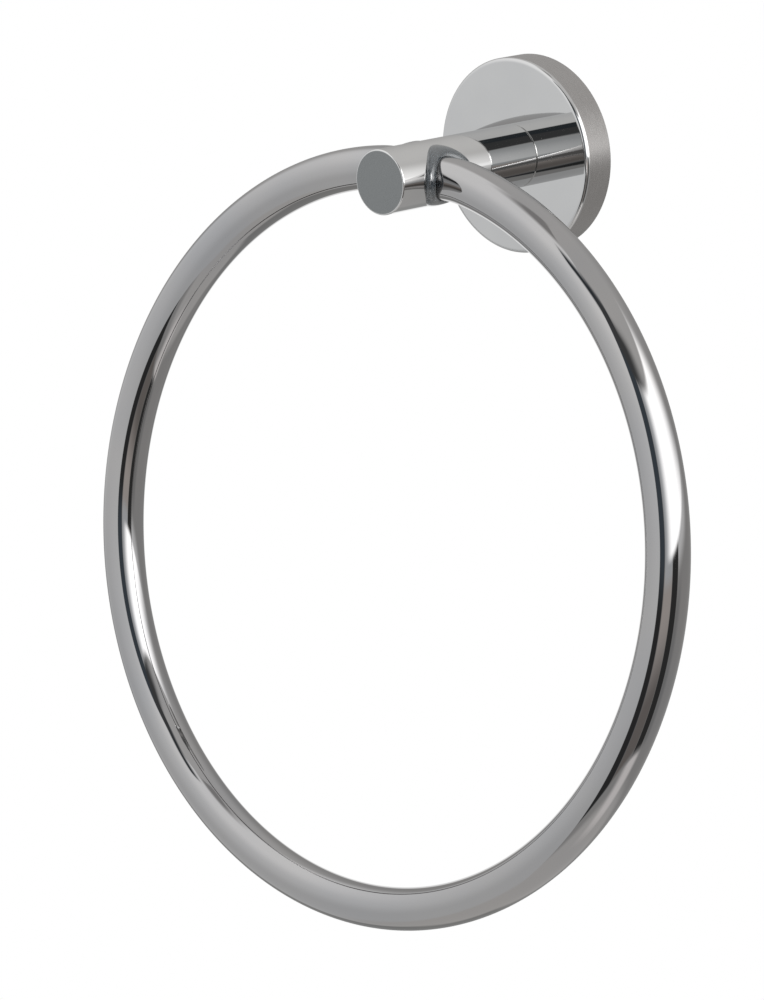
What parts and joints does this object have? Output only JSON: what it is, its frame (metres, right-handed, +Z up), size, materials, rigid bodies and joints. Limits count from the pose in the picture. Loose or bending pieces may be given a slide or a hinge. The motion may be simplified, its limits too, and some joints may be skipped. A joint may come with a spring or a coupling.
{
  "type": "towel ring",
  "caption": "Wall-mounted towel ring: a round rosette, a straight round post and a large tube ring that swings in plastic bushes in the post.",
  "frame": {"origin": "centre of the rosette's back, midway between the two wall-screw holes, on the wall plane", "axes": "+Z up, +Y into the wall, so the post stands out along -Y, +X to the right seen from the front"},
  "size_m": [0.2178, 0.0848, 0.236],
  "materials": {
    "rosette_chrome": "polished front, fine turned grain round the rim",
    "post_chrome": "polished side, darker satin end face",
    "ring_chrome": "polished tube",
    "bush_plastic": "glossy slate-grey moulded plastic",
    "dowel_steel": "turned bar",
    "screw_steel": "zinc-plated steel",
    "bracket_zinc": "bare die-cast zinc"
  },
  "bodies": {
    "wall_unit": {"rosette": "rosette_chrome", "post": "post_chrome", "bush_right": "bush_plastic", "bush_left": "bush_plastic", "post_screw": "screw_steel", "spring_washer": "screw_steel", "wall_bracket": "bracket_zinc", "grub_screw": "screw_steel"},
    "swing_ring": {"ring": "ring_chrome", "ring_dowel": "dowel_steel"}
  },
  "joints": [
    {"name": "ring_swing", "type": "hinge", "parent": "wall_unit", "child": "swing_ring", "pos_m": [0, -0.046, -0.00015], "axis": [-1, 0, 0], "range_deg": [-20.4, 159.5]}
  ]
}
